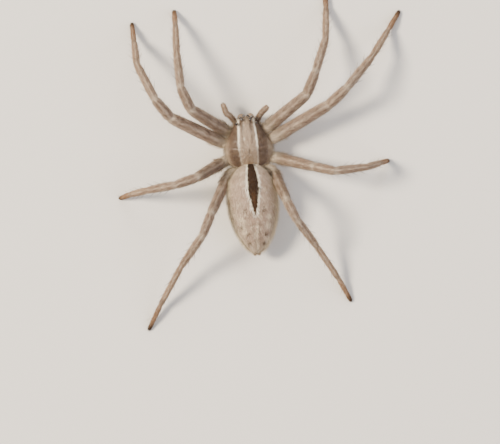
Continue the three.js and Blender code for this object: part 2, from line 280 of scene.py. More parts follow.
# %% [markdown]
# The abdomen is a soft bag, long and pointed behind. A stretched sphere would be too blunt, so its
# outline is a sine raised to a power, fuller in front. Small dents lie over the muscles that cross it
# inside, and its skin folds a little towards the tip.

# %% Abdomen shape
ABDOMEN = {"front": 0.1, "back": -5.06, "half_width": 1.44, "rise": 1.06, "drop": 0.98}
ABDOMEN_LEVELS = (1.86, 1.3)  # height of the abdomen's middle at the front and at the back
ABDOMEN_X = -0.03  # its middle line from the waist's
MUSCLE_DENTS = [(-0.5, -1.35), (0.6, -1.35), (-0.5, -2.5), (0.6, -2.5)]
DENT_DEPTH = 0.035
DENT_SPREAD = 0.012  # square millimetres
FOLD_HEIGHT = 0.008
FOLD_TURNS = 15  # radians for a millimetre, so a fold every 0.42 mm


def carve_abdomen(points):
    """Small dents over the muscles, and faint folds across the hind half."""
    x, y = points[..., 0], points[..., 1]
    upper = smooth(points[..., 2], 1.9, 2.4)
    for place in MUSCLE_DENTS:
        near = np.exp(-((x - place[0]) ** 2 + (y - place[1]) ** 2) / DENT_SPREAD)
        points[..., 2] -= DENT_DEPTH * upper * near
    folds = np.sin(y * FOLD_TURNS + 1.2 * np.abs(x)) * smooth(-y, 2.4, 3.4)
    points[..., 2] += FOLD_HEIGHT * folds * upper
    return points


def abdomen_shape(along, angle):
    size = ABDOMEN
    swell = np.sin(np.pi * np.clip(along, 0, 1) ** 0.8) ** 0.52
    width = (size["half_width"] - COAT_DEPTH) * swell
    rise = (size["rise"] - COAT_DEPTH) * swell**1.15
    drop = (size["drop"] - COAT_DEPTH) * swell**1.3
    length = (size["front"] - COAT_DEPTH, size["back"] + COAT_DEPTH)
    level = mix(*ABDOMEN_LEVELS, along)
    return carve_abdomen(ring_body(along, angle, length, ABDOMEN_X, level, width, rise, drop))


print("top of the abdomen", abdomen_shape(np.array([0.4]), np.array([math.pi / 2])).round(2))

# %% [markdown]
# A spider's leg is a chain of segments: coxa, femur, patella, tibia, metatarsus and tarsus. The chain
# could be posed with an armature. Headings and slopes are used here, as in the solids, because they can be
# measured one segment at a time and give the joints directly.

# %% Leg sizes and pose
LENGTHS = {  # millimetres from femur to tarsus, by pair
    1: (3.05, 1.4, 2.4, 2.1, 1.3),
    2: (3.7, 1.45, 2.55, 2.2, 1.35),
    3: (2.7, 1.32, 2.05, 1.65, 1.12),
    4: (2.95, 1.35, 2.55, 2.75, 1.7),
}
RADII = {  # half thickness from coxa to tarsus, by pair
    1: (0.33, 0.36, 0.3, 0.25, 0.19, 0.14),
    2: (0.35, 0.38, 0.31, 0.255, 0.19, 0.14),
    3: (0.34, 0.33, 0.28, 0.245, 0.18, 0.135),
    4: (0.34, 0.31, 0.27, 0.24, 0.175, 0.135),
}
ROOTS = {1: (0.5, 1.72), 2: (0.66, 1.22), 3: (0.62, 0.64), 4: (0.37, 0.13)}  # where the coxa begins
HIPS = {1: (1.2, 2.08), 2: (1.49, 1.43), 3: (1.56, 0.28), 4: (1.31, -0.5)}  # and where the femur does
ROOT_Z = 0.9
HIP_Z = 1.1
SINK = 0.035  # how far a claw tip would reach below the floor
CLAW_LIFT = 0.6  # height of the tarsus line's end, as a share of its half thickness
STEEPEST = 0.9  # sine of the steepest fall of a tarsus
BOWS = (0, 0.07, 0.03, 0.03, 0.02, 0.02)  # how far each segment arches up
POSE = {  # size against the pair's, headings from femur to tarsus, slopes from femur to metatarsus
    "left_1": (0.975, (144.3, 110.1, 92.1, 88.1, 90.6), (39.7, 15.3, -30, -37.4)),
    "left_2": (0.975, (149.5, 125.7, 112.5, 93, 92.8), (27.5, 24, -21, -51.4)),
    "left_3": (0.942, (-154, -165.7, -174.6, -171.9, -166.2), (49.3, -3, -29.6, -51.6)),
    "left_4": (1.022, (-118.7, -116.4, -129.9, -123.6, -120.5), (39.5, 16.2, -34.9, -27.6)),
    "right_1": (1.015, (34.3, 63.6, 67.9, 83.6, 88.7), (22.6, 20.3, -32.9, -34.4)),
    "right_2": (1.015, (25.7, 37.6, 46, 53.5, 54.6), (15.5, 26, -22.6, -37.8)),
    "right_3": (0.983, (-18.9, -17.4, 1.9, 12.1, 11.9), (36.2, 22.6, -23.4, -59.4)),
    "right_4": (0.93, (-71, -68, -58, -60.8, -65.5), (51, -3, -37.4, -27.4)),
}
SIDES = {"left": -1, "right": 1}


def direction(heading, slope):
    turn, rise = math.radians(heading), math.radians(slope)
    return np.array([math.cos(turn) * math.cos(rise), math.sin(turn) * math.cos(rise), math.sin(rise)])


def leg_joints(leg):
    """The joints of a leg from the coxa's root to the claw tip, in millimetres from the waist."""
    size, headings, slopes = POSE[leg]
    side, pair = leg.split("_")
    sign, pair = SIDES[side], int(pair)
    root, hip = ROOTS[pair], HIPS[pair]
    points = [np.array([sign * root[0], root[1], ROOT_Z]), np.array([sign * hip[0], hip[1], HIP_Z])]
    for heading, slope, length in zip(headings, slopes, LENGTHS[pair]):
        points.append(points[-1] + direction(heading, slope) * size * length)
    ankle, long = points[-1], size * LENGTHS[pair][4]
    fall = math.asin(min(ankle[2] / long, STEEPEST))
    height = CLAW_LIFT * RADII[pair][5] * math.cos(fall) - SINK
    reach = math.sqrt(long**2 - (ankle[2] - height) ** 2)
    tip = ankle + direction(headings[4], 0) * reach
    tip[2] = height
    return points + [tip]


print("knee heights", {leg: round(float(leg_joints(leg)[3][2]), 2) for leg in POSE})

# %% [markdown]
# A leg's skin could be a skin modifier on a chain of edges, but that gives no places for hairs. So it is
# a sleeve: a centre line through the joints, and a radius that narrows at each joint as real cuticle
# does. One sleeve runs from hip to claw, so no seam shows.

# %% Sleeves along a line of joints
UP = np.array([0.0, 0.0, 1.0])
FORWARD = np.array([0.0, 1.0, 0.0])
LIMB_COAT, TIP_COAT = 0.025, 0.008  # depth of a limb's coat at its root and at its tip
LINE_STEP = 0.02  # millimetres between two points of a centre line
ROOT_TAPER, TIP_TAPER = 0.72, 0.7  # a limb's two ends, as shares of their segments' radii
LIMB_HEIGHT = 1.04  # a limb is a little higher than wide
THINNEST = 0.03
LOWEST = 0.004  # millimetres over the floor


def unit(vectors):
    return vectors / np.maximum(np.linalg.norm(vectors, axis=-1, keepdims=True), 1e-9)


def eased(values, width):
    """A running mean that keeps the two ends."""
    padded = np.concatenate([np.repeat(values[:1], width, 0), values, np.repeat(values[-1:], width, 0)])
    sums = np.cumsum(np.concatenate([np.zeros_like(padded[:1]), padded]), axis=0)
    span = 2 * width + 1
    return (sums[span:] - sums[:-span]) / span


class Sleeve:
    """A limb's skin: a centre line through joints, with a radius that is given along it."""

    def __init__(self, joints, radii, bows=None, groove=0.05, ease=3, up=UP):
        bows = bows or (0,) * len(joints)
        centres, halves, parts = [], [], []
        for i, (start, end) in enumerate(zip(joints[:-1], joints[1:])):
            count = max(int(np.linalg.norm(end - start) / LINE_STEP), 4)
            share = np.linspace(0, 1, count, endpoint=False)
            after = radii[min(i + 1, len(radii) - 1)]
            thin = radii[i] * ROOT_TAPER if i == 0 else radii[i]
            last = radii[i] if i == 0 else (radii[i] + after) / 2
            if i == len(radii) - 1:
                last = radii[i] * TIP_TAPER
            half = mix(thin, last, smooth(share, 0.35, 1)) * (1 - groove * np.abs(2 * share - 1) ** 8)
            middle = start + (end - start) * share[:, None]
            middle[:, 2] += bows[i] * np.sin(np.pi * share)
            centres.append(middle)
            halves.append(half)
            parts.append(i + share)
        self.centre = eased(np.concatenate(centres), ease)
        self.half = eased(np.concatenate(halves), 3)
        self.part = np.concatenate(parts)
        self.along = unit(np.gradient(self.centre, axis=0))
        self.across = unit(np.cross(up, self.along))
        self.rise = unit(np.cross(self.along, self.across))
        steps = np.linalg.norm(np.diff(self.centre, axis=0), axis=1)
        self.length = float(steps.sum())
        self.share = np.concatenate([[0], np.cumsum(steps)]) / steps.sum()

    def at(self, name, share):
        """One of the sleeve's values at a share along it."""
        values = getattr(self, name)
        if values.ndim == 1:
            return np.interp(share, self.share, values)
        return np.stack([np.interp(share, self.share, values[:, i]) for i in range(3)], -1)

    def share_of(self, part):
        """The share along the sleeve where that part begins, counted from 0 at the root."""
        return float(np.interp(part, self.part, self.share))

    def shape(self, share, angle):
        """Points of the skin, with both ends rounded off and nothing under the floor."""
        radius = np.maximum(self.at("half", share) - mix(LIMB_COAT, TIP_COAT, share), THINNEST)
        near = np.minimum(share, 1 - share) * self.length / radius
        radius = radius * np.sqrt(np.clip(1 - (1 - np.minimum(near, 1)) ** 2, 0, 1))
        side = self.at("across", share) * np.cos(angle)[..., None]
        rise = self.at("rise", share) * LIMB_HEIGHT * np.sin(angle)[..., None]
        points = self.at("centre", share) + (side + rise) * radius[..., None]
        points[..., 2] = np.maximum(points[..., 2], LOWEST)
        return points


SLEEVES = {leg: Sleeve(leg_joints(leg), RADII[int(leg[-1])], BOWS, groove=0.16, ease=6) for leg in POSE}
print("leg lengths", {leg: round(sleeve.length, 1) for leg, sleeve in SLEEVES.items()})

# %% [markdown]
# The palps are short feelers beside the mouth: an arm that rises forwards, and a tip that bends down. The
# jaws hang under the face. Both are sleeves too, since hairs have to find their places on them. A jaw
# hangs along the usual up, so its sleeve is turned by the forward direction instead.

# %% Palp and jaw sleeves
PALP_RADII = (0.15, 0.17, 0.17, 0.17, 0.17, 0.16, 0.14, 0.11)
PALP_SPREAD = 0.26
PALP_REACH = {"left": 0.28, "right": -0.12}
JAW_LINE = [(0.25, 2.55, 1.5), (0.26, 2.66, 1.25), (0.25, 2.72, 0.95), (0.2, 2.72, 0.66), (0.18, 2.69, 0.55)]
JAW_RADII = (0.2, 0.24, 0.235, 0.17)


def on_side(side, line):
    """Points of the right side, mirrored for the left."""
    return [np.array([SIDES[side] * x, y, z]) for x, y, z in line]


def palp_line(spread, reach):
    return [
        (0.52, 2.34, 1.0),
        (0.62, 2.52, 1.14),
        (0.7 + spread * 0.3, 2.74, 1.34),
        (0.76 + spread * 0.6, 2.92, 1.46),
        (0.82 + spread, 3.05, 1.48),
        (0.88 + spread, 3.16 + reach * 0.4, 1.42),
        (0.94 + spread, 3.26 + reach * 0.8, 1.28),
        (0.97 + spread, 3.32 + reach, 1.12),
    ]


PALPS, JAWS = {}, {}
for side, reach in PALP_REACH.items():
    PALPS[side] = Sleeve(on_side(side, palp_line(PALP_SPREAD, reach)), PALP_RADII, ease=4)
    JAWS[side] = Sleeve(on_side(side, JAW_LINE), JAW_RADII, up=FORWARD)
print("palp", round(PALPS["left"].length, 2), "jaw", round(JAWS["left"].length, 2))

# %% [markdown]
# Colour comes next, because skin and hairs share it. It could be a picture wrapped round each piece, but
# that can't reach every hair's root. So each region has a function from a place on the body to a colour.
# The skin calls it at its vertices and each hair at its root, so a marking shows in both.

# %% Palette
COLOURS = {
    "carapace_band": "#988571",
    "carapace_side": "#87725d",
    "carapace_streak": "#534236",
    "margin": "#c3b39c",
    "white_line": "#ebe3d2",
    "abdomen": "#ad9886",
    "abdomen_pink": "#987f6b",
    # Pale flank colour: partly the sides' own pale hairs, partly painted light over the shaded sides.
    "pale_flank_and_painted_light": "#cfbfa5",
    "abdomen_belly": "#9c8a76",
    "mark": "#33200f",
    "mark_middle": "#4d321b",
    "mark_rim": "#170e08",
    "spot": "#3f2e21",
    "cream": "#d8c9ad",
    "leg": "#a48c79",
    "leg_stripe": "#725e4e",
    "leg_pale": "#cfc1ab",
    "leg_warm": "#a78a70",
    "leg_foot": "#8d6d52",
    "leg_tip": "#38271b",
    "belly": "#b3a18b",
    "jaw": "#866b53",
}
COLOURS = {name: np.array(hex_colour(text)[:3]) for name, text in COLOURS.items()}
print("colours", len(COLOURS))

# %% [markdown]
# Real markings are lines, spots and cloudy patches with soft edges, because each hair has its own colour.
# Noise textures could cloud them, but only in a render. These helpers give a mask at any place, 1 where a
# marking lies and 0 beside it, and paint a colour through it.


# %% Lines, spots and clouds
def paint(base, name, amount):
    """The base colour, covered by a named one where amount is 1."""
    amount = np.clip(amount, 0, 1)[..., None]
    return base * (1 - amount) + COLOURS[name] * amount


def plain(name, like):
    return np.broadcast_to(COLOURS[name], like.shape[:-1] + (3,)).copy()


def wobble(x, y, scale, seed=0.0):
    """A smooth pattern without a repeat, from -1 to 1."""
    a = np.sin(x * scale + 1.7 * np.sin(y * scale * 0.83 + seed) + seed)
    b = np.sin(y * scale * 1.31 - 1.3 * np.sin(x * scale * 0.71 - seed) + 2.1 * seed)
    return a * b


def line_mask(x, centre, half):
    """1 on a line of that half width, softly 0 beside it."""
    return 1 - smooth(np.abs(x - centre), half * 0.6, half * 1.4)


def spots(x, y, places, radius):
    mask = np.zeros_like(x)
    for px, py in places:
        mask = np.maximum(mask, 1 - smooth(np.hypot(x - px, y - py), radius * 0.5, radius * 1.3))
    return mask


def along_rows(rows, y):
    """A value at y from rows of y and value, listed from the head backwards."""
    ys, values = zip(*reversed(rows))
    return np.interp(y, ys, values)


print("line mask", line_mask(np.array([0.0, 0.05, 0.1]), 0, 0.05).round(2))

# %% [markdown]
# The heart shines through the abdomen's skin as a dark lance edged in white. It could be modelled as a
# piece of its own, but it is only colour. Its edge is a row of half widths about its own middle line, and
# everything else follows from the distance to that edge.

# %% Lance mark
MARK_ROWS = [(0.3, 0.12), (0.0, 0.15), (-0.45, 0.24), (-0.9, 0.295), (-1.17, 0.3), (-1.27, 0.43)]
MARK_ROWS += [(-1.37, 0.295), (-1.7, 0.245), (-2.1, 0.175), (-2.5, 0.09), (-2.78, 0.0)]
MARK_MIDDLE = [(0.3, 0.02), (-0.5, 0.06), (-0.9, 0.075), (-1.4, 0.05), (-2.0, 0.07), (-2.8, 0.05)]
WHITE_HALF = 0.052  # half of a white edge line's width


def lance_mark(base, x, y, z):
    """The dark heart mark, its darker rim, and the white lines along both edges."""
    off = np.abs(x - along_rows(MARK_MIDDLE, y))
    half = along_rows(MARK_ROWS, y)
    outside = off - half
    top = smooth(z, 1.75, 1.95)
    ends = smooth(-y, -0.2, 0.0) * (1 - smooth(-y, 2.7, 2.95))
    white = line_mask(outside, WHITE_HALF, WHITE_HALF) * ends
    flick = spots(np.abs(x - 0.06), y, [(0.5, -1.26)], 0.075)
    base = paint(base, "white_line", np.maximum(white, 0.9 * flick) * top)
    inside = (1 - smooth(outside, -0.02, 0.015)) * (half > 0.01) * top
    base = paint(base, "mark", inside)
    share = off / np.maximum(half, 0.02)
    base = paint(base, "mark_middle", 0.8 * inside * (1 - smooth(share, 0.2, 0.7)) * smooth(-y, 1.2, 1.7))
    return paint(base, "mark_rim", 0.8 * inside * smooth(share, 0.6, 1.0))


print("lance mark", round(MARK_ROWS[0][0] - MARK_ROWS[-1][0], 2), "mm long")

# %% [markdown]
# The rest of the abdomen is pale and clouded, pinker towards the rear, with paired dark dots over the
# muscles and cream patches between them. The layers are painted one over another, as an airbrush would,
# because their soft edges then blend without any border.

# %% Abdomen colours
CREAM_PATCHES = [(-0.78, -2.95), (-0.74, -3.4), (-0.66, -3.75), (0.86, -2.9), (0.76, -3.4)]
DARK_DOTS = [(-0.485, -3.83), (0.6, -3.87), (-0.83, -3.41), (-0.05, -4.98), (-0.45, -4.35), (0.42, -4.4)]


def abdomen_colour(points):
    x, y, z = points[..., 0], points[..., 1], points[..., 2]
    base = plain("abdomen", points)
    mottle = wobble(x, y, 5.3) + 0.6 * wobble(x, y, 13, 2.0)
    middle = 1 - smooth(np.abs(x - 0.05), 0.3, 1.0)
    base = paint(base, "abdomen_pink", 0.55 * smooth(-y, 1.6, 3.2) * middle)
    # Paler flanks: partly the pale hairs of the sides, partly painted light that lifts the shade falling on
    # the curving sides.
    base = paint(base, "pale_flank_and_painted_light", 0.8 * smooth(1 - z / (2.9 + 0.12 * y), 0.17, 0.42))
    base = paint(base, "abdomen_pink", 0.4 * smooth(mottle, 0.2, 1.0))
    base = paint(base, "cream", 0.4 * smooth(-mottle, 0.3, 1.1))
    base = paint(base, "cream", 0.8 * spots(x, y, CREAM_PATCHES, 0.17))
    rear = (-y - 3.3) / 1.5
    midline = line_mask(x, mix(0.12, 0.0, rear), 0.06) * smooth(-y, 3.0, 3.4)
    base = paint(base, "cream", 0.6 * midline)
    beside = line_mask(np.abs(x - 0.06), mix(0.2, 0.1, rear), 0.06) * smooth(-y, 3.0, 3.4)
    base = paint(base, "spot", 0.28 * beside)
    base = paint(base, "spot", 0.85 * spots(x, y, DARK_DOTS + MUSCLE_DENTS[2:], 0.12))
    base = paint(base, "abdomen_belly", 1 - smooth(z, 0.95, 1.5))
    return lance_mark(base, x, y, z)


print("dark dots", len(DARK_DOTS + MUSCLE_DENTS[2:]))

# %% [markdown]
# The carapace carries a pale band between two white lines, with dark streaks where the band meets the
# eyes, brown sides that fade outwards, and a pale margin. Straight stripes would look printed, so the two
# lines follow rows of places down the back, each with its own bend.

# %% Carapace colours
BAND_LEFT = [(2.9, -0.4), (2.2, -0.45), (1.6, -0.5), (1.0, -0.53), (0.5, -0.5), (-0.3, -0.42)]
BAND_RIGHT = [(2.9, 0.33), (2.55, 0.4), (2.2, 0.44), (1.6, 0.49), (1.1, 0.5), (0.5, 0.51), (-0.3, 0.45)]


def carapace_colour(points):
    x, y, z = points[..., 0], points[..., 1], points[..., 2]
    left, right = along_rows(BAND_LEFT, y), along_rows(BAND_RIGHT, y)
    base = plain("carapace_band", points)
    mottle = wobble(x, y, 9) + 0.6 * wobble(x, y, 21, 1.3)
    base = paint(base, "abdomen_pink", 0.45 * smooth(mottle, 0.1, 1))
    out = np.maximum(left - x, x - right)
    beside = smooth(out, -0.02, 0.05)
    base = paint(base, "carapace_side", beside)
    near = beside * (1 - smooth(out, 0.36, 0.78))
    base = paint(base, "carapace_streak", near * (0.72 + 0.28 * smooth(mottle, -0.4, 0.6)))
    base = paint(base, "carapace_streak", 0.35 * beside * fovea_fan(points, 4))
    base = paint(base, "margin", 0.5 * beside * smooth(out, 0.5, 0.84))
    base = paint(base, "margin", smooth(1.42 - z, -0.05, 0.13) * 0.9)
    strength = mix(0.25, 1, smooth(y, 0.7, 1.3))
    lines = np.maximum(line_mask(x, left, 0.052), line_mask(x, right, 0.046))
    base = paint(base, "white_line", lines * strength)
    inner = np.maximum(line_mask(x, left + 0.24, 0.03), line_mask(x, right - 0.22, 0.03))
    base = paint(base, "white_line", 0.5 * inner * smooth(y, 1.7, 2.2))
    streaks = line_mask(x, -0.25, 0.07) + line_mask(x, 0.21, 0.065)
    base = paint(base, "carapace_streak", 0.85 * streaks * smooth(y, 1.85, 2.15))
    faint = line_mask(x, -0.29, 0.06) + line_mask(x, 0.24, 0.06)
    base = paint(base, "carapace_streak", 0.45 * faint * smooth(y, 0.8, 1.5))
    base = paint(base, "white_line", spots(x, y, [(-0.2, 1.56), (0.02, 2.72)], 0.06) * smooth(z, 1.85, 1.95))
    wedge = smooth(1.0 - y, 0, 0.4) * (1 - smooth(np.abs(x - 0.03), 0.08, 0.26))
    base = paint(base, "carapace_side", 0.6 * wedge)
    return paint(base, "mark_rim", 0.85 * spots(x, y * 0.45, [(FOVEA[0], FOVEA[1] * 0.45)], 0.05))


print("band width at the fovea", along_rows(BAND_RIGHT, FOVEA[1]) - along_rows(BAND_LEFT, FOVEA[1]))

# %% [markdown]
# A leg has two dark stripes along its top, paler sides and freckles, pale rings at the knee, and it grows
# warmer and darker towards the claw. These follow the leg, not the body, so their function asks for the
# segment and the angle round it. The skins and coats all ask for a colour in one way, so three short
# wrappers follow.

# %% Leg colours and wrappers
PALP_PARTS = (1.2, 5.2)  # a palp's colours run from those of a femur to those of a tarsus


def leg_colour(part, angle):
    """Colour of a leg: part counts the segments from the coxa, and angle is 90 degrees on top."""
    base = plain("leg", np.stack([part] * 3, -1))
    share = part - np.floor(part)
    top = np.abs(np.degrees(angle) % 360 - 90)
    mottle = wobble(part * 6, angle * 2, 2.2) + 0.7 * wobble(part * 19, angle * 3, 2.9, 1.0)
    base = paint(base, "leg_warm", 0.8 * smooth(part, 2.9, 4.2))
    stripe = (1 - smooth(np.abs(top - 24), 8, 26)) * (1 - 0.6 * smooth(part, 3.6, 4.6))
    base = paint(base, "leg_stripe", 0.75 * stripe)
    base = paint(base, "leg_pale", 0.5 * smooth(top, 52, 85) * (1 - smooth(top, 100, 150)))
    base = paint(base, "leg_pale", 0.3 * (1 - smooth(top, 4, 12)))
    base = paint(base, "leg_stripe", 0.5 * smooth(mottle, 0.3, 1.1))
    base = paint(base, "leg_pale", 0.3 * smooth(-mottle, 0.4, 1.1))
    rings = np.minimum(share, 1 - share)
    knees = (part > 1.6) & (part < 3.3)
    base = paint(base, "leg_pale", 0.45 * (1 - smooth(rings, 0.02, 0.07)) * knees)
    base = paint(base, "leg_pale", 0.85 * (1 - smooth(part, 0.85, 1.3)))
    base = paint(base, "leg_stripe", 0.6 * (1 - smooth(np.abs(part - 4.9), 0.04, 0.1)))
    base = paint(base, "leg_foot", smooth(part, 4.95, 5.25))
    return paint(base, "leg_tip", smooth(part, 5.55, 5.95))


def by_place(colour):
    return lambda points, along, angle: colour(points)


def by_leg(sleeve):
    return lambda points, along, angle: leg_colour(sleeve.at("part", along), angle)


def by_palp(points, along, angle):
    return leg_colour(mix(*PALP_PARTS, along), angle)


def one_colour(name):
    return lambda points, along, angle: plain(name, points)


print("knee colour", leg_colour(np.array([2.5]), np.array([math.pi / 2])).round(2))

# %% [markdown]
# Cuticle is layered chitin, laid down by the skin and tanned hard after each moult. All its hairs could
# be left to a texture, but then its outline would be bare. So the larger hairs are modelled further on,
# and the material takes the colour that the functions above give each vertex, clouds it a little, and
# adds the grain of the finest hairs as bump.

# %% Materials of skin and hair
HAIR_GRAIN = 0.00004  # metres between the bump's ridges, coarser than the finest real hairs so as to show
HAIR_RELIEF = 0.00002  # metres from its hollows to its ridges
CLOUDS = 5200.0  # in a metre, so that each is 0.19 mm wide, about as a tuft of hairs
CLOUD_SHADES = (0.72, 1.22)  # brightness of the darkest and the lightest cloud
WAX_ROUGHNESS = 0.35


def cuticle(name, roughness, grain=1.0, wax=0.0):
    """Skin with its tint, clouds and grain, under a thin coat of wax."""
    material, tree = new_material(name)
    place = add_node(tree, "ShaderNodeTexCoord").outputs["Object"]
    tint = add_node(tree, "ShaderNodeAttribute", attribute_name="tint").outputs["Color"]
    fine = add_node(tree, "ShaderNodeTexNoise", {"Vector": place, "Scale": 1 / HAIR_GRAIN, "Detail": 3.0})
    cloud = add_node(tree, "ShaderNodeTexNoise", {"Vector": place, "Scale": CLOUDS, "Detail": 4.0})
    limits = {"Value": cloud.outputs["Fac"], "To Min": CLOUD_SHADES[0], "To Max": CLOUD_SHADES[1]}
    value = add_node(tree, "ShaderNodeMapRange", limits)
    shade = add_node(tree, "ShaderNodeHueSaturation", {"Color": tint, "Value": value.outputs["Result"]})
    relief = {"Height": fine.outputs["Fac"], "Distance": HAIR_RELIEF, "Strength": 0.6 * grain}
    bump = add_node(tree, "ShaderNodeBump", relief)
    gloss = {"Coat Weight": wax, "Coat Roughness": WAX_ROUGHNESS}
    finish_material(tree, shade.outputs["Color"], roughness, bump.outputs["Normal"], **gloss)
    return material


# Hard cuticle with wax over it gives a faint soft highlight. The abdomen's is thin and stretched, and
# quite dull. The jaws' is thick and worn smooth by use, so it shines more and shows less grain.
SKIN = {
    "carapace": cuticle("hairy carapace cuticle", 0.6, 0.8, 0.12),
    "abdomen": cuticle("soft abdomen skin", 0.7),
    "belly": cuticle("pale belly cuticle", 0.6, 0.7, 0.1),
    "leg": cuticle("leg cuticle", 0.6, 0.8, 0.08),
    "jaw": cuticle("polished jaw cuticle", 0.4, 0.4, 0.3),
}

# Flattened hollow hairs scatter light, so the coat looks dry and velvety, with hardly any highlight.
HAIR, tree = new_material("short flattened hair")
tint = add_node(tree, "ShaderNodeAttribute", attribute_name="tint").outputs["Color"]
finish_material(tree, tint, 0.65, **{"Specular IOR Level": 0.15})
print("skin materials", len(SKIN))

# %% [markdown]
# The skins could be modelled by hand or subdivided from blocks. A flat grid that is rolled up is used
# instead: one side runs along the part and the other round it, so each vertex knows its place on the
# shape. The long edges meet and are merged, and the ends close on a point. The grid's fineness is set by
# the thinnest marking that the skin has to carry.

# %% Skins from a grid
MERGE = 1e-7  # metres between vertices that become one
SLIVER = 1e-8  # metres, the shortest edge that is kept
CARAPACE_GRID = (96, 128)  # rings along and sides round


def rolled_grid(shape, size, fine_ends):
    """A bmesh of the shape, and each vertex's place, share along and angle. Fine ends crowd the rings."""
    rings, sides = size
    grid = bmesh.new()
    bmesh.ops.create_grid(grid, x_segments=rings, y_segments=sides, size=0.5)
    grid.verts.ensure_lookup_table()
    flat = np.array([vert.co[:] for vert in grid.verts]) + 0.5
    along = (1 - np.cos(np.pi * flat[:, 0])) / 2 if fine_ends else flat[:, 0]
    angle = 2 * np.pi * flat[:, 1]
    points = shape(along, angle)
    for vert, spot in zip(grid.verts, metres(points)):
        vert.co = spot
    return grid, points, along, angle


def smooth_mesh(name, shell):
    """The bmesh as a mesh with smooth faces."""
    for face in shell.faces:
        face.smooth = True
    mesh = bpy.data.meshes.new(name)
    shell.to_mesh(mesh)
    shell.free()
    return mesh


def closed_mesh(name, shape, size, colour, fine_ends):
    """A rolled grid with its colours, its seam and poles merged, and its faces turned outwards."""
    grid, points, along, angle = rolled_grid(shape, size, fine_ends)
    layer = grid.verts.layers.float_color.new("tint")
    for vert, tint in zip(grid.verts, colour(points, along, angle)):
        vert[layer] = (*tint, 1.0)
    bmesh.ops.remove_doubles(grid, verts=grid.verts, dist=MERGE)
    bmesh.ops.dissolve_degenerate(grid, edges=grid.edges, dist=SLIVER)
    bmesh.ops.recalc_face_normals(grid, faces=grid.faces)
    return smooth_mesh(name, grid)


def add_piece(name, mesh, materials, nodes=()):
    """Links a piece with its finish, hangs it on the body it rides on, and hides the solids it stands for.
    """
    piece = link_object(name, mesh, *materials)
    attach(piece, "root")
    if nodes:
        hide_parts(*nodes)
    print(name, len(mesh.polygons), "faces")


def skin_piece(name, shape, size, colour, finish, nodes, fine_ends=True):
    """One closed skin that stands for those nodes."""
    mesh = closed_mesh(name, shape, size, colour, fine_ends)
    add_piece(name, mesh, [SKIN[finish]], nodes)


tint = by_place(carapace_colour)
skin_piece(
    "carapace_skin", carapace_shape, CARAPACE_GRID, tint, "carapace", ["carapace"]
)

# %% [markdown]
# The abdomen's skin needs the finest grid, because the lance mark's white edges are only 0.1 mm wide. A
# leg's cuticle is a chain of tubes joined by folds of soft skin. It could be six pieces, but the folds
# are too small to see, and one skin from hip to claw hides the cuts between the solids.

# %% Abdomen, leg and palp skins
LEG_PARTS = ("coxa", "femur", "patella", "tibia", "foot")
ABDOMEN_GRID = (150, 180)
LEG_GRID = (260, 22)
PALP_GRID = (60, 18)

tint = by_place(abdomen_colour)
skin_piece("abdomen_skin", abdomen_shape, ABDOMEN_GRID, tint, "abdomen", ["abdomen"])
for leg, sleeve in SLEEVES.items():
    nodes = [f"leg_{leg}_{part}" for part in LEG_PARTS]
    skin_piece(f"leg_{leg}_skin", sleeve.shape, LEG_GRID, by_leg(sleeve), "leg", nodes, False)
for side, sleeve in PALPS.items():
    nodes = [f"palp_{side}_arm", f"palp_{side}_tip"]
    skin_piece(f"palp_{side}_skin", sleeve.shape, PALP_GRID, by_palp, "leg", nodes, False)

# %% [markdown]
# The sternum is the heart-shaped plate under the chest, between the hips. A flat plate cut to an outline
# would do from below, but its edge would show from the side. So it is a thin rolled skin as well.

# %% Sternum skin
STERNUM = {"front": 1.98, "back": 0.0, "half_width": 0.72, "top": 0.97, "under": 0.68}
STERNUM_GRID = (40, 48)


def sternum_shape(along, angle):
    width = STERNUM["half_width"] * np.sin(np.pi * np.clip(along, 0, 1) ** 0.85) ** 0.6 - 0.01
    width = np.maximum(width, 0) * (np.minimum(along, 1 - along) > 1e-6)
    half = (STERNUM["top"] - STERNUM["under"]) / 2 * np.minimum(1, width / 0.25)
    length = (STERNUM["front"], STERNUM["back"])
    return ring_body(along, angle, length, 0, (STERNUM["top"] + STERNUM["under"]) / 2, width, half, half)


tint = one_colour("belly")
skin_piece("sternum_skin", sternum_shape, STERNUM_GRID, tint, "belly", ["sternum"])

# %% [markdown]
# Small parts close the body: the lip and two endites of the mouth, the waist's short stalk, the
# spinnerets under the abdomen's tip, and the jaws. Each could be turned from a cone. They are short
# sleeves instead, because that gives them the same soft ends as the limbs and one function for all.

# %% Mouth, waist, spinnerets and jaws
SMALL_GRID = (28, 18)
SPINNERETS = [  # place across the body, height, reach behind the abdomen's tip and half thickness
    (-0.1, 1.0, 0.2, 0.12),
    (0.1, 1.0, 0.2, 0.12),
    (-0.12, 1.16, 0.24, 0.1),
    (0.12, 1.16, 0.24, 0.1),
]
SPINNERET_Y = -4.98


def small_sleeve(points, radii):
    return Sleeve([np.array(point) for point in points], radii)


def small_part(name, sleeves, colour, finish, nodes=()):
    """Several short sleeves joined in one piece."""
    joined = bmesh.new()
    for sleeve in sleeves:
        part = closed_mesh("part", sleeve.shape, SMALL_GRID, one_colour(colour), False)
        joined.from_mesh(part)
        bpy.data.meshes.remove(part)
    mesh = bpy.data.meshes.new(name)
    joined.to_mesh(mesh)
    joined.free()
    add_piece(name, mesh, [SKIN[finish]], nodes)


lip = small_sleeve([(0, 1.8, 0.84), (0, 2.0, 0.84), (0, 2.28, 0.84)], (0.14, 0.2, 0.16))
endites = [
    small_sleeve([(x * 0.3, 1.95, 0.86), (x * 0.24, 2.25, 0.84), (x * 0.14, 2.52, 0.84)], (0.18, 0.2, 0.16))
    for x in (1, -1)
]
small_part("mouth_plates", [lip, *endites], "jaw", "belly")

stalk = small_sleeve([(0, 0.1, 1.16), (0, -0.4, 1.17), (0, -0.85, 1.18)], (0.3, 0.24, 0.24))
small_part("waist_skin", [stalk], "belly", "belly", ["pedicel"])

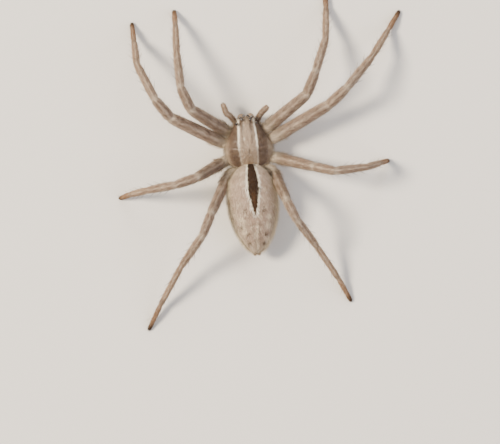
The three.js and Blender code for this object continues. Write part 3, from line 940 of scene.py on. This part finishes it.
spinnerets = [
    small_sleeve(
        [
            (ABDOMEN_X + x * 0.6, -4.7, z),
            (ABDOMEN_X + x, SPINNERET_Y, z),
            (ABDOMEN_X + x * 1.15, SPINNERET_Y - reach, z - 0.02),
        ],
        (half * 1.1, half * 1.05),
    )
    for x, z, reach, half in SPINNERETS
]
small_part("spinneret_skin", spinnerets, "leg_warm", "belly", ["spinnerets"])

for side, sleeve in JAWS.items():
    small_part(f"jaw_{side}", [sleeve], "jaw", "jaw", [f"chelicera_{side}"])

# %% [markdown]
# Each jaw ends in a dark fang that folds inwards. A curve with a taper could make it, but the same shape
# is wanted later for bristles and claws by the hundred. So one slim cone is made once as a bmesh, and each
# use copies it and bends it as it narrows.

# %% Fangs from bent cones
FANG_LENGTH = 0.2
FANG_RADIUS = 0.045

# Fangs and claws are the thickest chitin, tanned almost black and worn smooth, with a tight highlight.
horn, tree = new_material("dark polished fang")
finish_material(tree, hex_colour("#1d0f09"), 0.22)


def cone_mesh(sides, steps):
    """A slim cone one unit long and one unit in radius, cut into steps so that it can bend."""
    cone = bmesh.new()
    bmesh.ops.create_cone(cone, cap_ends=True, segments=sides, radius1=1, radius2=0.06, depth=1)
    bmesh.ops.translate(cone, verts=cone.verts, vec=(0, 0, 0.5))
    long_edges = [edge for edge in cone.edges if abs(edge.verts[0].co.z - edge.verts[1].co.z) > 0.5]
    bmesh.ops.subdivide_edges(cone, edges=long_edges, cuts=steps)
    bmesh.ops.recalc_face_normals(cone, faces=cone.faces)
    return smooth_mesh("cone", cone)


FINE_CONE = cone_mesh(10, 6)
BRISTLE_CONE = cone_mesh(5, 2)


def bent_cone(target, cone, root, aim, length, radius, bend):
    """Adds a cone from root along aim that curls towards bend. Root in millimetres from the waist."""
    target.from_mesh(cone)
    target.verts.ensure_lookup_table()
    turn = Vector(aim).to_track_quat("Z", "Y")
    start = Vector(metres(root))
    for vert in target.verts[-len(cone.vertices) :]:
        share = vert.co.z
        spot = turn @ Vector((vert.co.x * radius, vert.co.y * radius, share * length))
        vert.co = start + (spot + Vector(bend) * (share * share * length)) * MM


def cone_piece(name, cones, material):
    """One object from a list of cones, each given as the arguments of bent_cone after the target."""
    joined = bmesh.new()
    for cone in cones:
        bent_cone(joined, *cone)
    mesh = bpy.data.meshes.new(name)
    joined.to_mesh(mesh)
    joined.free()
    add_piece(name, mesh, [material])


for side, sign in SIDES.items():
    aim, bend = (-sign * 0.5, -0.45, -0.5), (-sign * 0.3, -0.4, 0.25)
    fang = (FINE_CONE, [sign * 0.19, 2.7, 0.6], aim, FANG_LENGTH, FANG_RADIUS, bend)
    cone_piece(f"fang_{side}", [fang], horn)

# %% [markdown]
# Eight small simple eyes stand in two curved rows. Each is a smooth lens in a slightly raised ring of
# cuticle. The ring could be a torus, but only its upper slope shows. So it is a circle on the lens whose
# edge is extruded outwards and down, and both make one piece with two materials.

# %% Eyes
EYES = {
    "front_middle": (0.12, 2.79, 1.93),
    "front_side": (0.34, 2.72, 1.93),
    "rear_middle": (0.24, 2.6, 2.11),
    "rear_side": (0.54, 2.36, 2.08),
}
EYE_RADIUS = 0.085
RING_INNER = 0.98  # the ring's inner edge against the lens
RING_FLARE = 1.24  # its outer edge against its inner one
RING_DROP = -0.03  # and how far it lies below it
RING_LIFT = 0.012  # from the lens's middle to the ring's inner edge

# An eye's lens is clear cuticle over a dark retina: it swallows light and keeps one sharp highlight.
lens_stuff, tree = new_material("dark glossy eye lens")
finish_material(tree, hex_colour("#0b0706"), 0.06, **{"Coat Weight": 1.0, "Coat Roughness": 0.03})
# The ring is tanned cuticle without hairs, and has a dull sheen that sets the lens off.
rim_stuff, tree = new_material("dark eye ring cuticle")
finish_material(tree, hex_colour("#4a3728"), 0.45)


def eye_piece(name, side, place):
    sign = SIDES[side]
    spot = Vector(metres([sign * place[0], place[1], place[2]]))
    look = Vector((sign * (0.3 + place[0]), place[1] - 1.75, 0.55)).normalized()
    ball = bmesh.new()
    bmesh.ops.create_uvsphere(ball, u_segments=28, v_segments=18, radius=EYE_RADIUS * MM)
    bmesh.ops.translate(ball, verts=ball.verts, vec=spot)
    lens_faces = set(ball.faces)
    ring = bmesh.ops.create_circle(ball, cap_ends=False, segments=28, radius=EYE_RADIUS * RING_INNER * MM)
    edges = [edge for edge in ball.edges if edge.is_wire]  # the circle's own: the lens's all have faces
    wide = bmesh.ops.extrude_edge_only(ball, edges=edges)
    outer = [item for item in wide["geom"] if isinstance(item, bmesh.types.BMVert)]
    for vert in outer:
        vert.co = vert.co * RING_FLARE + Vector((0, 0, RING_DROP * MM))
    turn = look.to_track_quat("Z", "Y")
    for vert in list(ring["verts"]) + outer:
        vert.co = spot + turn @ (vert.co + Vector((0, 0, RING_LIFT * MM)))
    for face in ball.faces:
        face.material_index = 0 if face in lens_faces else 1
    mesh = smooth_mesh(f"eye_{name}_{side}_lens", ball)
    add_piece(mesh.name, mesh, [lens_stuff, rim_stuff], [f"eye_{name}_{side}"])


for name, place in EYES.items():
    for side in SIDES:
        eye_piece(name, side, place)

# %% [markdown]
# Short hairs lie flat over the skin, pale and dark mixed, and give the spider its velvet look. They could
# be Blender's hair curves, but a part for a library has to be a mesh. So each hair is a thin blade, a
# quad and a tip, rooted in the skin and laid along the body, and thousands are joined from arrays. It is
# two or three times as wide as a real hair, or it wouldn't show. Each blade's patch in the map named
# OFBake sits at its root's place on the unrolled skin, so a baked picture keeps the markings.

# %% Hair blades
PATCH = 0.003  # a blade's patch, as a share of the map
ROOT_DEPTH = 0.012  # millimetres in the skin
FLOOR_GAP = 0.003
QUAD = [0, 1, 2, 3]
POINT = [3, 2, 4]
BLADE_MAP = np.array([[0, 0], [1, 0], [1, 0.5], [0, 0.5], [0.5, 1]])


def blades(point, outward, lay, length, width, lift, colour, home):
    """Vertices, colours and patches of one blade per row. Millimetres."""
    side = unit(np.cross(outward, lay))
    lay = unit(lay)
    length, width, lift = length[:, None], width[:, None], lift[:, None]
    root = point - outward * ROOT_DEPTH
    middle = root + lay * length * 0.5 + outward * (lift * length * 0.62)
    tip = root + lay * length + outward * (lift * length * 0.85)
    corners = [root - side * width / 2, root + side * width / 2]
    corners += [middle + side * width * 0.42, middle - side * width * 0.42, tip]
    verts = np.stack(corners, 1)
    verts[..., 2] = np.maximum(verts[..., 2], FLOOR_GAP)
    tints = np.repeat(colour[:, None, :], 5, 1)
    tints[:, 4] = np.minimum(tints[:, 4] * 1.15 + 0.02, 1)
    return verts, tints, home[:, None, :] + BLADE_MAP * PATCH


def hair_piece(name, groups):
    """One mesh from groups of blades: four corners and a tip each, in a quad and a triangle."""
    verts, tints, patches = (np.concatenate(values) for values in zip(*groups))
    count = len(verts)
    corners = QUAD + POINT
    loops = np.arange(count)[:, None] * 5 + corners
    starts = np.arange(count)[:, None] * len(corners) + [0, len(QUAD)]
    mesh = bpy.data.meshes.new(name)
    mesh.vertices.add(count * 5)
    mesh.vertices.foreach_set("co", metres(verts).astype(np.float32).ravel())
    mesh.loops.add(count * len(corners))
    mesh.loops.foreach_set("vertex_index", loops.astype(np.int32).ravel())
    mesh.polygons.add(count * 2)
    mesh.polygons.foreach_set("loop_start", starts.astype(np.int32).ravel())
    mesh.polygons.foreach_set("use_smooth", np.ones(count * 2, dtype=bool))
    mesh.update(calc_edges=True)
    mesh.validate()
    uv = mesh.uv_layers.new(name="OFBake")
    uv.data.foreach_set("uv", patches[:, corners].astype(np.float32).ravel())
    layer = mesh.color_attributes.new("tint", "FLOAT_COLOR", "POINT")
    rgba = np.ones((count * 5, 4), dtype=np.float32)
    rgba[:, :3] = tints.reshape(-1, 3)
    layer.data.foreach_set("color", rgba.ravel())
    add_piece(name, mesh, [HAIR])


print("corners of a blade", len(BLADE_MAP))

# %% [markdown]
# Hairs grow evenly over the skin, each a little different in lie, length and lightness. Picking vertices
# of the mesh would crowd them where the grid is fine, so places are drawn at random and kept by the area
# that each stands for. A fixed seed gives the same coat each time.

# %% Coats over a shape
SEED = 7
RNG = np.random.default_rng(SEED)
STEP = 0.002  # a share of the part, or radians round it
TRIES = 5  # places drawn for each hair that is kept
SHADE_SPREAD = 0.14  # how much the hairs differ in lightness
WHITE_SHARE = 0.35  # of white in a white hair
DARK_SHADE = 0.55  # of its place's colour in a dark hair


def small_steps(shape, along, angle, turn):
    """Short ways along the part and round it."""
    ahead = shape(np.clip(along + STEP, 0, 1), angle) - shape(np.clip(along - STEP, 0, 1), angle)
    around = shape(along, angle + turn) - shape(along, angle - turn)
    return ahead, around


def surface_frame(shape, along, angle):
    """Points, outward directions and directions along the part."""
    point = shape(along, angle)
    ahead, around = (unit(way) for way in small_steps(shape, along, angle, STEP * 4))
    return point, unit(np.cross(around, ahead)), ahead


def scatter(shape, count, weight, span):
    """Random places on a shape between two shares along it, even over its area."""
    tries = count * TRIES
    along, angle = RNG.uniform(*span, tries), RNG.random(tries) * 2 * np.pi
    area = np.linalg.norm(np.cross(*small_steps(shape, along, angle, STEP)), axis=-1)
    if weight is not None:
        area = area * weight(along, angle)
    keep = RNG.choice(tries, size=count, replace=False, p=area / area.sum())
    return along[keep], angle[keep]


def hair_tints(colour, white=0.08, dark=0.1):
    """Each hair's own lightness, with some white and some dark hairs among the rest."""
    count = len(colour)
    tints = colour * (1 + SHADE_SPREAD * RNG.standard_normal(count))[:, None]
    draw = RNG.random(count)
    pale = smooth(colour.mean(-1), 0.07, 0.16)
    bright = mix(tints, COLOURS["white_line"], WHITE_SHARE)
    tints = np.where((draw < white * pale)[:, None], bright, tints)
    tints = np.where((draw > 1 - dark)[:, None], tints * DARK_SHADE, tints)
    return np.clip(tints, 0.004, 1)


def whole_map(along, angle):
    """A root's place in the map when one shape has it all."""
    return np.stack([along * 0.99, (angle / (2 * np.pi) % 1) * 0.99], -1)


def coat(
    shape, count, length, width, lift, colour, home=whole_map, swirl=0.25, weight=None, span=(0, 1), **mixed
):
    """A group of hairs over a shape. length, width, lift and span are pairs of limits."""
    along, angle = scatter(shape, count, weight, span)
    point, outward, lay = surface_frame(shape, along, angle)
    lay = lay + np.cross(outward, lay) * (RNG.standard_normal(count) * swirl)[:, None]
    tints = hair_tints(colour(point, along, angle), **mixed)
    length, width, lift = (RNG.uniform(*limits, count) for limits in (length, width, lift))
    return blades(point, outward, unit(lay), length, width, lift, tints, home(along, angle))


print("seed", SEED)

# %% [markdown]
# The abdomen and the carapace have a dense short coat on top, and a fringe of longer pale hairs that
# stand out along the sides. One even coat would hide the outline's softness, so the fringe is a group of
# its own, weighted to the flanks. The sternum has only a thin short coat.


# %% Body coats
def flank(along, angle):
    return np.exp(-((np.sin(angle) / 0.3) ** 2)) * smooth(along, 0.1, 0.3)


def upper_side(along, angle):
    return 0.15 + smooth(np.sin(angle), -0.2, 0.1)


def rim_line(along, angle):
    return np.exp(-(((np.sin(angle) + 0.02) / 0.15) ** 2))


tint = by_place(abdomen_colour)
fur = coat(abdomen_shape, 26000, (0.14, 0.3), (0.018, 0.034), (0.04, 0.22), tint, swirl=0.3)
tint = one_colour("cream")
fringe = coat(abdomen_shape, 4200, (0.2, 0.36), (0.011, 0.02), (0.35, 0.85), tint, weight=flank)
hair_piece("abdomen_coat", [fur, fringe])

tint = by_place(carapace_colour)
short = {"length": (0.1, 0.2), "width": (0.013, 0.024), "lift": (0.04, 0.2)}
fur = coat(carapace_shape, 15000, **short, colour=tint, swirl=0.3, weight=upper_side, dark=0.06)
tint = one_colour("margin")
wild = {"length": (0.16, 0.3), "width": (0.011, 0.018), "lift": (0.45, 1.0)}
fringe = coat(carapace_shape, 2000, **wild, colour=tint, weight=rim_line, span=(0.1, 1))
hair_piece("carapace_coat", [fur, fringe])

fur = coat(sternum_shape, 1600, (0.08, 0.16), (0.012, 0.02), (0.05, 0.3), one_colour("belly"))
hair_piece("sternum_coat", [fur])

# %% [markdown]
# Each leg has its short coat, finer towards the foot, a few long hairs, a ruff at the hip and a brush of
# dark hairs under the claws. A piece for each leg would be simpler, but the four of a side share one, each
# with its own strip of the map, so that fewer maps are baked.

# %% Leg coats
STRIPS = 4


def strip(row):
    """The part of the map that belongs to one limb."""
    return lambda along, angle: np.stack(
        [along * 0.99, (row + (angle / (2 * np.pi) % 1) * 0.94) / STRIPS], -1
    )


def underside(along, angle):
    return 0.3 + (np.sin(angle) < 0.2)


def leg_fur(leg, row):
    sleeve = SLEEVES[leg]
    shape, tint, home = sleeve.shape, by_leg(sleeve), strip(row)
    limb, foot, toe = sleeve.share_of(1.1), sleeve.share_of(4), sleeve.share_of(5.7)
    long = coat(shape, 420, (0.24, 0.42), (0.007, 0.011), (0.6, 1.1), tint, home, span=(limb, toe))
    main = coat(shape, 8000, (0.13, 0.26), (0.013, 0.024), (0.05, 0.32), tint, home, span=(0, foot))
    fine = coat(shape, 4200, (0.11, 0.2), (0.011, 0.018), (0.1, 0.5), tint, home, span=(foot, 1))
    where = {"weight": underside, "span": (toe, 1)}
    brush = coat(shape, 260, (0.1, 0.18), (0.012, 0.02), (0.15, 0.7), tint, home, **where, white=0)
    ruff = coat(shape, 900, (0.16, 0.3), (0.011, 0.019), (0.4, 1.0), tint, home, span=(0, limb * 1.25))
    return [main, fine, brush, long, ruff]


LEGS = {side: [leg for leg in POSE if leg.startswith(side)] for side in SIDES}
for side, legs in LEGS.items():
    groups = [group for row, leg in enumerate(legs) for group in leg_fur(leg, row)]
    hair_piece(f"leg_coat_{side}", groups)

# %% [markdown]
# Palps and jaws have short fine hairs. A piece for each limb would be simpler here too, but all four
# share one, for the same reason as the legs.

# %% Face and palp coat
JAW_HAIRS = {"length": (0.09, 0.16), "width": (0.008, 0.013), "lift": (0.05, 0.35)}
face_groups = []
for row, sleeve in enumerate(PALPS.values()):
    face_groups.append(coat(sleeve.shape, 2400, (0.1, 0.2), (0.01, 0.016), (0.1, 0.5), by_palp, strip(row)))
tint = one_colour("carapace_side")
for row, sleeve in enumerate(JAWS.values(), start=len(PALPS)):
    face_groups.append(coat(sleeve.shape, 1500, **JAW_HAIRS, colour=tint, home=strip(row), swirl=0.15))
hair_piece("face_coat", face_groups)

# %% [markdown]
# Stout bristles stand on top of the thighs, and in pairs along the sides and below on shins and feet.
# Blades would look flat there, since a bristle is round and thick at its root. So each is a bent cone
# of five sides that leans towards the foot.

# %% Bristles
BRISTLE_ROWS = [  # segment, shares along it, angles round it and length
    (1, (0.3, 0.55, 0.8), (90, 60, 120), 0.42),
    (3, (0.25, 0.5, 0.75), (15, 165, 235, 305), 0.5),
    (4, (0.18, 0.45, 0.75), (20, 160, 240, 300), 0.42),
]
BRISTLE_RADIUS = 0.014
BRISTLE_ROOT = 0.02  # millimetres in the skin
BRISTLE_CLEARANCE = 0.05  # the least height of a bristle's tip

# A bristle is a stiff hollow hair of dark chitin, with a slight shine along its length.
bristle_stuff, tree = new_material("dark bristle")
finish_material(tree, hex_colour("#3a2a1e"), 0.4)


def leg_bristles(sleeve):
    for part, shares, angles, length in BRISTLE_ROWS:
        for share in shares:
            for angle in angles:
                along = np.array([sleeve.share_of(part + share)])
                place = surface_frame(sleeve.shape, along, np.radians([float(angle)]))
                point, outward, ahead = (value[0] for value in place)
                aim = unit(ahead * 0.85 + outward * 0.6)
                if point[2] + aim[2] * length > BRISTLE_CLEARANCE:
                    root = point - outward * BRISTLE_ROOT
                    yield BRISTLE_CONE, root, aim, length, BRISTLE_RADIUS, ahead * 0.12


for side, legs in LEGS.items():
    bristles = [cone for leg in legs for cone in leg_bristles(SLEEVES[leg])]
    cone_piece(f"leg_bristles_{side}", bristles, bristle_stuff)

# %% [markdown]
# Two small claws stand at the end of each foot, spread a little, and curl down to the ground. They are
# the fang's cone again, made smaller, because a claw has the same form and the same dark chitin.

# %% Claws
CLAW_LENGTH = 0.11
CLAW_RADIUS = 0.016


def leg_claws(sleeve):
    tip, ahead, across = sleeve.centre[-2], sleeve.along[-2], sleeve.across[-2]
    for sign in SIDES.values():
        root = tip - ahead * 0.06 + across * sign * 0.025
        aim = unit(ahead + across * sign * 0.25 + UP * 0.35)
        fall = -np.clip((root[2] + aim[2] * CLAW_LENGTH - 0.01) / CLAW_LENGTH, 0, 0.9)
        yield FINE_CONE, root, aim, CLAW_LENGTH, CLAW_RADIUS, UP * fall


claws = [cone for sleeve in SLEEVES.values() for cone in leg_claws(sleeve)]
cone_piece("claws", claws, horn)
